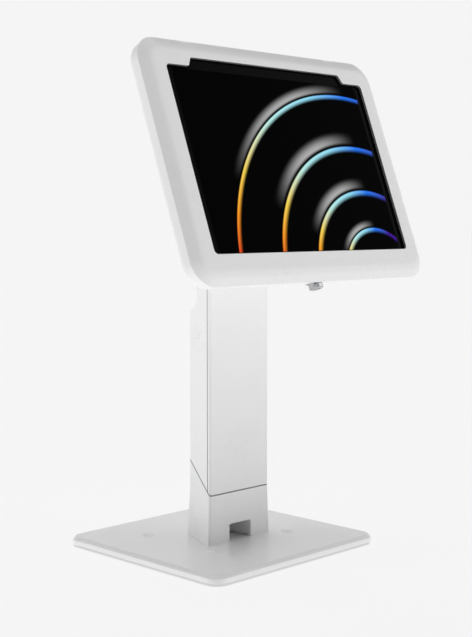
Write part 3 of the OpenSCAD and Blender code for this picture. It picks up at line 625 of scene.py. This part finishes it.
# Swaps a flat face for one with an opening of the given outline and returns the opening's edges
def openFace(bm, face, corners, segments):
    level = face.calc_center_median().z
    rim = list(face.edges)
    bmesh.ops.delete(bm, geom=[face], context="FACES_ONLY")
    hole = cornerFace(bm, corners, segments)
    bmesh.ops.translate(bm, verts=hole.verts, vec=(0, 0, level))
    edges = list(hole.edges)
    bmesh.ops.delete(bm, geom=[hole], context="FACES_ONLY")
    bmesh.ops.triangle_fill(bm, edges=rim + edges, use_beauty=True)
    return edges


def makeFrontFrame():
    bm = bmesh.new()
    face = cornerFace(bm, boxCorners(casing["width"], casing["height"], casing["corner"]), 20)
    bmesh.ops.translate(bm, verts=face.verts, vec=(0, 0, -casing["split"] * mm))
    openFace(bm, riseAlong(bm, face, bevelSteps()), windowCorners(), 8)
    turnAwayFrom(bm, (0, 0, -head["thickness"]))
    # The window's inner wall takes the dark grey of painted shade
    finishPiece(bm, "frontFrame", "frame", [whiteCoat, paintedSeamShade], ["front_frame"],
                headPlace, wall=casing["lip"], edge=casing["soft"])


# Faces of the tray's top wall that lie over the middle of a pocket
def topWall(bm, centre):
    return [face for face in bm.faces if face.normal.y > facing
            and min(vert.co.x for vert in face.verts) < centre * mm < max(vert.co.x for vert in face.verts)]


# Lets a hinge pocket into the top wall: a notch in its rim, lined with a floor, two ends and a back
def cutPocket(bm, centre):
    half = frameHinge["pocketWidth"] / 2
    cuts = [((centre - half, 0, 0), (1, 0, 0)), ((centre + half, 0, 0), (1, 0, 0)),
            ((0, 0, frameHinge["pocketLow"]), (0, 0, 1))]
    for point, normal in cuts:
        faces = topWall(bm, centre)
        edges = {edge for face in faces for edge in face.edges}
        verts = {vert for face in faces for vert in face.verts}
        bmesh.ops.bisect_plane(bm, geom=faces + list(edges) + list(verts), dist=weld,
                               plane_co=Vector(point) * mm, plane_no=normal)
    notch = max(topWall(bm, centre), key=lambda face: face.calc_center_median().z)
    rim = max(vert.co.z for vert in notch.verts)
    liner = [edge for edge in notch.edges if min(vert.co.z for vert in edge.verts) < rim - hair * mm]
    bmesh.ops.delete(bm, geom=[notch], context="FACES_ONLY")
    made = bmesh.ops.extrude_edge_only(bm, edges=liner)["geom"]
    inner = [part for part in made if isinstance(part, bmesh.types.BMVert)]
    bmesh.ops.translate(bm, verts=inner, vec=(0, -frameHinge["pocketDepth"] * mm, 0))
    bmesh.ops.contextual_create(bm, geom=inner)
    bmesh.ops.delete(bm, geom=[edge for edge in bm.edges if not edge.link_faces], context="EDGES")


def makeRearShell():
    bm = bmesh.new()
    inset = tray["inset"]
    outline = boxCorners(casing["width"] - 2 * inset, casing["height"] - 2 * inset, casing["corner"] - inset)
    face = cornerFace(bm, outline, 20)
    straight = head["thickness"] - casing["split"] - tray["edge"]
    riseAlong(bm, face, [(0, straight)] + quarterRound(tray["edge"], 8))
    bmesh.ops.scale(bm, verts=bm.verts, vec=(1, 1, -1))
    bmesh.ops.translate(bm, verts=bm.verts, vec=(0, 0, -casing["split"] * mm))
    for vert in bm.verts:
        if vert.is_boundary and vert.co.y > tray["reliefFrom"] * mm:
            vert.co.z -= tray["relief"] * mm
    turnAwayFrom(bm, (0, 0, -casing["split"]))
    for side in (-1, 1):
        cutPocket(bm, side * frameHinge["x"])
    turnAwayFrom(bm, (0, 0, -casing["split"]))
    finishPiece(bm, "rearShell", "head", [whiteCoat], ["rear_shell"], headPlace,
                wall=tray["wall"], edge=casing["soft"])


# Blocks on a side-view outline, one for each (from, to) stretch along x
def sideBlocks(bm, outline, stretches):
    for low, high in stretches:
        block(bm, outline, low, [(0, high - low)])
    turnOutward(bm)


def makeHingeKnuckles():
    y, z, r, tongue = frameHinge["y"], frameHinge["z"], frameHinge["barrel"], frameHinge["tongue"]
    bend = halfRound * r
    middle, side = frameHinge["middle"] / 2, frameHinge["side"]
    inner = middle + frameHinge["room"]
    back = casing["height"] / 2 - tray["inset"] - frameHinge["pocketDepth"] - tray["wall"] / 2
    centres = (-frameHinge["x"], frameHinge["x"])
    hook = [(back, z - r, 0), (y + r, z - r, bend), (y + r, z + r, bend), (y - r, z + r, bend),
            (y - r, z, 0), (back, z, 0)]
    bm = bmesh.new()
    ends = [(inner, inner + side), (-inner - side, -inner)]
    sideBlocks(bm, hook, [(centre + low, centre + high) for centre in centres for low, high in ends])
    finishPiece(bm, "shellKnuckles", "head", [whiteCoat], (), headPlace @ sideways,
                edge=frameHinge["soft"])
    lip = -casing["lip"]
    leaf = [(y - r, z - r, bend), (y + r, z - r, bend), (y + r, z, 0), (y + tongue, z + r, 0),
            (y + tongue, lip - r, 0), (y - tongue, lip - r, 0), (y - tongue, z + r, 0), (y - r, z, 0)]
    bm = bmesh.new()
    sideBlocks(bm, leaf, [(centre - middle, centre + middle) for centre in centres])
    finishPiece(bm, "frameKnuckles", "frame", [whiteCoat], (), headPlace @ sideways,
                edge=frameHinge["soft"])


makeFrontFrame()
makeRearShell()
makeHingeKnuckles()
print("head casing made")

tablet = {"width": 253.0, "height": 184.0, "corner": 12.0, "front": -2.8, "glass": 0.75, "edge": 0.3}
display = {"width": 232.8, "height": 160.5, "corner": 4.0}


def makeScreen():
    bm = bmesh.new()
    steps = [(0, tablet["glass"] - tablet["edge"])] + quarterRound(tablet["edge"], 4)
    outline = boxCorners(tablet["width"], tablet["height"], tablet["corner"])
    face = block(bm, outline, tablet["front"] - tablet["glass"], steps)
    edges = openFace(bm, face, boxCorners(display["width"], display["height"], display["corner"]), 8)
    shown = bmesh.ops.contextual_create(bm, geom=edges)["faces"][0]
    turnOutward(bm)
    shown.material_index = 1
    finishPiece(bm, "screenGlass", "head", [blackBorder, litDisplay],
                ["cover_glass", "camera_lens"], headPlace)


makeScreen()
print("screen made")

lock = {"y": -106.25, "z": -13.6, "collar": 6.2, "out": 5.3, "chamfer": 0.8, "barrel": 4.5, "inside": 8.0,
        "plug": 3.2, "room": 0.08, "sink": 0.7, "flare": 0.6, "soft": 0.18,
        "slotWidth": 1.2, "slotLength": 4.4, "slotDepth": 3.0, "slotRound": 0.3}
boss = {"radius": 8.5, "length": 14.0, "wall": 1.6, "start": -4.6, "sink": 0.05, "soft": 1.2}
lockCentre = Vector((0, lock["y"], lock["z"])) * mm
lockPlace = headPlace @ Matrix.Translation(lockCentre) @ Matrix.Rotation(math.pi / 2, 4, "X")


def makeLock():
    bore, out, edge = lock["plug"] + lock["room"], lock["out"], lock["chamfer"]
    inside, flare, collar, seat = -lock["inside"], lock["flare"], lock["collar"], lock["room"]
    ring = [(bore, inside), (bore, out - flare), (bore + flare, out), (collar - edge, out),
            (collar, out - edge), (collar, seat), (lock["barrel"], seat), (lock["barrel"], inside)]
    bm = bmesh.new()
    turned(bm, ring + ring[:1])
    finishPiece(bm, "lockCollar", "head", [brightChrome], ["lock_housing"],
                lockPlace, edge=lock["soft"])
    face = out - lock["sink"]
    bm = bmesh.new()
    roundPost(bm, lock["plug"], inside - edge, face)
    slot = bmesh.new()
    outline, depth = boxCorners(lock["slotWidth"], lock["slotLength"], lock["slotRound"]), lock["slotDepth"]
    block(slot, outline, face - depth, [(0, 2 * depth)], 4)
    finishPiece(combine(bm, slot), "lockPlug", "lock", [brightChrome], ["lock_plug"],
                lockPlace, edge=lock["soft"])


# Half-round housing of the lock that stands out of the tray's back
def makeLockBoss():
    r, wall, length = boss["radius"], boss["wall"], boss["length"]
    outline = [(-r, 0, 0), (r, 0, 0), (r, -r, halfRound * r), (-r, -r, halfRound * r)]
    bm = bmesh.new()
    block(bm, outline, -length, [(0, length - boss["sink"])], 20)
    start = Vector((0, boss["start"], 0)) * mm                  # inside the tray's wall, clear of the cam
    cut = bmesh.ops.bisect_plane(bm, geom=bm.verts[:] + bm.edges[:] + bm.faces[:], dist=weld, plane_co=start,
                                 plane_no=(0, 1, 0), clear_outer=True)["geom_cut"]
    bmesh.ops.holes_fill(bm, edges=[part for part in cut if isinstance(part, bmesh.types.BMEdge)], sides=0)
    room = bmesh.new()
    roundPost(room, r - wall, wall - length, -tray["wall"])
    finishPiece(combine(bm, room), "lockBoss", "head", [whiteCoat], (), lockPlace,
                edge=boss["soft"])


makeLock()
makeLockBoss()
print("lock made")

tilt = {"back": 85.0, "earIn": 8.95, "ear": 5.0, "earRound": 14.0, "earLow": 262.0, "earFront": -18.5,
        "earRear": 1.45, "footRound": 2.0, "neckRound": 4.0, "waistRound": 6.0, "webThickness": 3.0,
        "pin": 5.0, "room": 0.05, "headRadius": 9.0, "headLength": 5.0, "headSoft": 1.2, "pinSoft": 0.3,
        "tail": 4.0, "socket": 3.4, "nutFlats": 15.0, "nutLength": 3.6, "soft": 0.6}
arm = {"width": 14.1, "knuckle": 13.5, "bush": 6.52, "height": 20.0, "hub": 24.0, "hubFront": 32.0,
       "hubBack": 40.0, "spindle": 6.02, "bend": 6.0, "soft": 0.8,
       "waist": 16.0, "flare": 5.0, "hubInset": 4.0, "overlap": 1.0}    # where the web narrows and spreads
plate = {"size": 118.0, "corner": 9.0, "front": 28.0, "back": 31.0, "holes": 100.0, "spacer": 6.0,
         "screwHead": 3.8, "headHeight": 2.2, "shank": 2.0, "shankEnd": 18.2, "socket": 1.7, "spindle": 6.05,
         "soft": 0.5, "headSoft": 0.7, "screwSoft": 0.15, "spacerSoft": 0.4}
tiltAxis = headPlace @ Vector((0, 0, -tilt["back"] * mm)) / mm


# Two ears on a bent channel, each with a round end about the tilt pin
def makeHingeBracket():
    y, z, r = tiltAxis.y, tiltAxis.z, tilt["earRound"]
    bend, waist, neck = halfRound * r, tilt["waistRound"], tilt["neckRound"]
    front, rear, low, high = tilt["earFront"], tilt["earRear"], tilt["earLow"], column["top"]
    ear = [(front, low, tilt["footRound"]), (rear, low, 0), (rear, high, neck), (y + r, z - r / 2, waist),
           (y + r, z + r, bend), (y - r, z + r, bend), (y - r, z - r / 2, waist), (front, high, neck)]
    near, beyond = tilt["earIn"], tilt["earIn"] + tilt["ear"]
    bm = bmesh.new()
    sideBlocks(bm, ear, [(near, beyond), (-beyond, -near)])
    bm.transform(sideways)
    web = bmesh.new()
    thick = tilt["webThickness"]
    outline = [(-beyond, rear - thick, 0), (beyond, rear - thick, 0), (beyond, rear, 0), (-beyond, rear, 0)]
    block(web, outline, low, [(0, high - thick - low)])
    bores = bmesh.new()
    roundPost(bores, tilt["pin"] + tilt["room"], -2 * beyond, 2 * beyond, (y, z))
    bores.transform(sideways)
    solid = combine(combine(bm, web, "UNION"), bores)
    finishPiece(solid, "hingeBracket", "stand", [whiteCoat], ["hinge_bracket"],
                edge=tilt["soft"])


def makeHingePin():
    y, z, out = tiltAxis.y, tiltAxis.z, tilt["earIn"] + tilt["ear"]
    end, soft, r = out + tilt["headLength"], tilt["headSoft"], tilt["headRadius"]
    pin, tail, under = tilt["pin"], out + tilt["tail"], -out - tilt["room"]
    bm = bmesh.new()
    turned(bm, [(0, -end), (r - soft, -end), (r, soft - end), (r, under), (pin, under),
                (pin, tail - soft / 2), (pin - soft / 2, tail), (0, tail)], (y, z))
    socket = bmesh.new()
    roundPost(socket, tilt["socket"], -2 * end, tilt["headLength"] / 2 - end, (y, z), 6)
    finishPiece(combine(bm, socket), "hingePin", "stand", [brightChrome], ["hinge_pin"],
                sideways, edge=tilt["pinSoft"])
    nut = bmesh.new()
    low = out + tilt["room"]
    roundPost(nut, tilt["nutFlats"] / 2 / math.cos(math.pi / 6), low, low + tilt["nutLength"], (y, z), 6)
    bore = bmesh.new()
    roundPost(bore, pin + tilt["room"], 0, 2 * end, (y, z))
    finishPiece(combine(nut, bore), "hingeNut", "stand", [brightChrome], ["hinge_nut"],
                sideways, edge=tilt["soft"])


# Knuckle on the tilt pin, web, and round hub behind the head
def makeTiltArm():
    half, r, hub = arm["height"] / 2, arm["knuckle"], arm["hub"]
    low, high = -tilt["back"], -arm["hubBack"]
    bend, lap, inset = arm["bend"], arm["overlap"], arm["hubInset"]
    waist, flare = low + arm["waist"], high - arm["flare"]
    web = [(lap - r, low, 0), (-half, waist, bend), (-half, flare, bend), (inset - hub, high + lap, 0),
           (hub - inset, high + lap, 0), (half, flare, bend), (half, waist, bend), (r - lap, low, 0)]
    reach = (-arm["width"] / 2, arm["width"] / 2)
    bm = bmesh.new()
    sideBlocks(bm, web, [reach])
    knuckle = bmesh.new()
    roundPost(knuckle, r, *reach, (0, low))
    bm = combine(bm, knuckle, "UNION")
    bore = bmesh.new()
    roundPost(bore, arm["bush"], -hub, hub, (0, low))
    bm = combine(bm, bore)
    bm.transform(sideways)
    disc = bmesh.new()
    roundPost(disc, hub, high, -arm["hubFront"], segments=96)
    bm = combine(bm, disc, "UNION")
    spindle = bmesh.new()
    roundPost(spindle, arm["spindle"], high - inset, 0)
    finishPiece(combine(bm, spindle), "tiltArm", "arm", [whiteCoat], ["tilt_arm"],
                headPlace, edge=arm["soft"])


def plateHoles():
    half = plate["holes"] / 2
    return [(x, y) for x in (-half, half) for y in (-half, half)]


def makeSwivelPlate():
    front, back = plate["front"], plate["back"]
    shank, rim, soft = plate["shank"], plate["screwHead"], plate["headSoft"]
    bm = bmesh.new()
    block(bm, boxCorners(plate["size"], plate["size"], plate["corner"]), -back, [(0, back - front)], 16)
    bore = bmesh.new()
    roundPost(bore, plate["spindle"], -2 * back, 0)
    finishPiece(combine(bm, bore), "swivelPlate", "head", [whiteCoat], ["swivel_plate"],
                headPlace, edge=plate["soft"])
    screws, sockets, spacers = bmesh.new(), bmesh.new(), bmesh.new()
    tip, end = -plate["shankEnd"], -back - plate["headHeight"]
    outline = [(0, tip), (shank, tip), (shank, -back), (rim, -back), (rim, end + soft), (rim - soft, end),
               (0, end)]
    for at in plateHoles():
        turned(screws, outline, at, 48)
        roundPost(sockets, plate["socket"], 2 * end, end + plate["headHeight"] / 2, at, 6)
        roundPost(spacers, plate["spacer"], -front, -head["thickness"], at, 48)
    finishPiece(combine(screws, sockets), "plateScrews", "head", [zincSteel], ["plate_screws"],
                headPlace, edge=plate["screwSoft"])
    turnOutward(spacers)
    finishPiece(spacers, "plateSpacers", "head", [zincSteel], ["plate_spacers"], headPlace,
                edge=plate["spacerSoft"])


makeHingeBracket()
makeHingePin()
makeTiltArm()
makeSwivelPlate()
print("mechanism made")

# CAD nodes that keep their own shape take their slot's finish
finishes = {"painted_steel": whiteCoat, "painted_aluminium": whiteCoat, "white_plastic": whiteCap,
            "zinc_steel": zincSteel, "bright_chrome": brightChrome, "dark_rubber": blackRubber,
            "tablet_metal": greyAnodised, "screen_glass": blackBorder, "display": blackFilm,
            "tablet_inside": blackFilm}
ownFinish = {"tablet_board": boardGreen}
for part in frame["record"]["subparts"]:
    node = frame["nodes"][part["node"]]
    node.data.materials.clear()
    node.data.materials.append(ownFinish.get(part["node"], finishes[part["material_slot"]]))
print("CAD nodes finished")

studio = {"background": 0.913, "floorPaint": 0.12, "floorSize": 60.0, "floorLight": 1.2, "ambient": 0.22,
          "contact": 0.42, "contactReach": 5.0, "contactRange": (0.1, 0.8),     # dark line where it stands
          "fade": (0.2, 0.75), "ceiling": 0.25,                     # the room dims from the horizon up
          "lampDistance": 2.0}
suns = [
    # name, direction that the light comes from, softness in degrees, strength, seen in gloss
    ("rearLeft", (-0.65, 0.76, 0.12), 50.0, 1.13, False),
    ("rear", (0.25, 0.93, 0.25), 30.0, 0.4, False),
    ("frontRight", (0.62, -0.68, 0.36), 60.0, 0.58, True),
    ("above", (0.1, 0.1, 1.0), 70.0, 1.2, True),
]
photo = {"place": (-0.8150, -0.8275, 0.3045), "yaw": -45.2, "pitch": 4.55, "lens": 71.17, "sensor": 36.0,
         "clip": (0.01, 100.0)}


# The floor shows as bright as the background, less the object's shadow, and lights the object from below
def makeFloor():
    bm = bmesh.new()
    bmesh.ops.create_grid(bm, x_segments=1, y_segments=1, size=studio["floorSize"] / 2)
    floor = plainObject("floor", bm)
    material, tree, shader = newMaterial("paleFloor")
    falling = sum(strength * Vector(direction).normalized().z
                  for name, direction, angle, strength, gloss in suns)
    lit = studio["ambient"] / 2 + falling / math.pi                 # half, as the room dims overhead
    shown = studio["background"] - studio["floorPaint"] * lit
    rays = addNode(tree, "ShaderNodeLightPath").outputs
    reach = {"Distance": studio["contactReach"] * mm}
    free = addNode(tree, "ShaderNodeAmbientOcclusion", reach, samples=32)
    deepest = shown * (1 - studio["contact"])
    dark = rangeNode(tree, free.outputs["AO"], *studio["contactRange"], deepest, shown, "SMOOTHSTEP")
    glow = rangeNode(tree, rays["Is Diffuse Ray"], 0.0, 1.0, dark, studio["floorLight"])
    shader.inputs["Base Color"].default_value = (*(studio["floorPaint"],) * 3, 1)
    shader.inputs["Roughness"].default_value = 1.0
    shader.inputs["Specular IOR Level"].default_value = 0.0
    shader.inputs["Emission Color"].default_value = (1, 1, 1, 1)
    tree.links.new(glow, shader.inputs["Emission Strength"])
    floor.data.materials.append(material)


# Pale background for the camera, mirrors and glass, and a dim light from all round for the rest
def makeWorld():
    world = bpy.data.worlds.new("paleStudio")
    world.use_nodes = True
    tree = world.node_tree
    tree.nodes.clear()
    rays = addNode(tree, "ShaderNodeLightPath").outputs
    sharp = mathNode(tree, "MAXIMUM", rays["Is Glossy Ray"], rays["Is Transmission Ray"])
    seen = mathNode(tree, "MAXIMUM", rays["Is Camera Ray"], sharp)
    level = rangeNode(tree, seen, 0.0, 1.0, studio["ambient"], studio["background"])
    way = addNode(tree, "ShaderNodeTexCoord").outputs["Generated"]
    height = addNode(tree, "ShaderNodeSeparateXYZ", {"Vector": way}).outputs["Z"]
    fade = rangeNode(tree, height, *studio["fade"], 1.0, studio["ceiling"], "SMOOTHSTEP")
    strength = mathNode(tree, "MULTIPLY", level, fade)
    light = addNode(tree, "ShaderNodeBackground", {"Color": (1, 1, 1, 1), "Strength": strength})
    addNode(tree, "ShaderNodeOutputWorld", {"Surface": light.outputs[0]})
    scene.world = world


def makeSuns():
    for name, direction, angle, strength, gloss in suns:
        light = bpy.data.lights.new(name, "SUN")
        light.angle = math.radians(angle)
        light.energy = strength
        lamp = bpy.data.objects.new(name, light)
        lamp.visible_glossy = gloss
        lamp.location = Vector(direction).normalized() * studio["lampDistance"]
        lamp.rotation_mode = "QUATERNION"
        lamp.rotation_quaternion = Vector(direction).to_track_quat("Z", "Y")
        scene.collection.objects.link(lamp)


def makeCamera():
    camera = bpy.data.cameras.new("photoCamera")
    camera.lens = photo["lens"]
    camera.sensor_width = photo["sensor"]
    camera.clip_start, camera.clip_end = photo["clip"]
    obj = bpy.data.objects.new("photoCamera", camera)
    obj.location = photo["place"]
    obj.rotation_euler = (math.radians(90 - photo["pitch"]), 0, math.radians(photo["yaw"]))
    scene.collection.objects.link(obj)
    scene.camera = obj


makeFloor()
makeWorld()
makeSuns()
makeCamera()
scene.view_settings.view_transform = "Standard"
print("studio made")
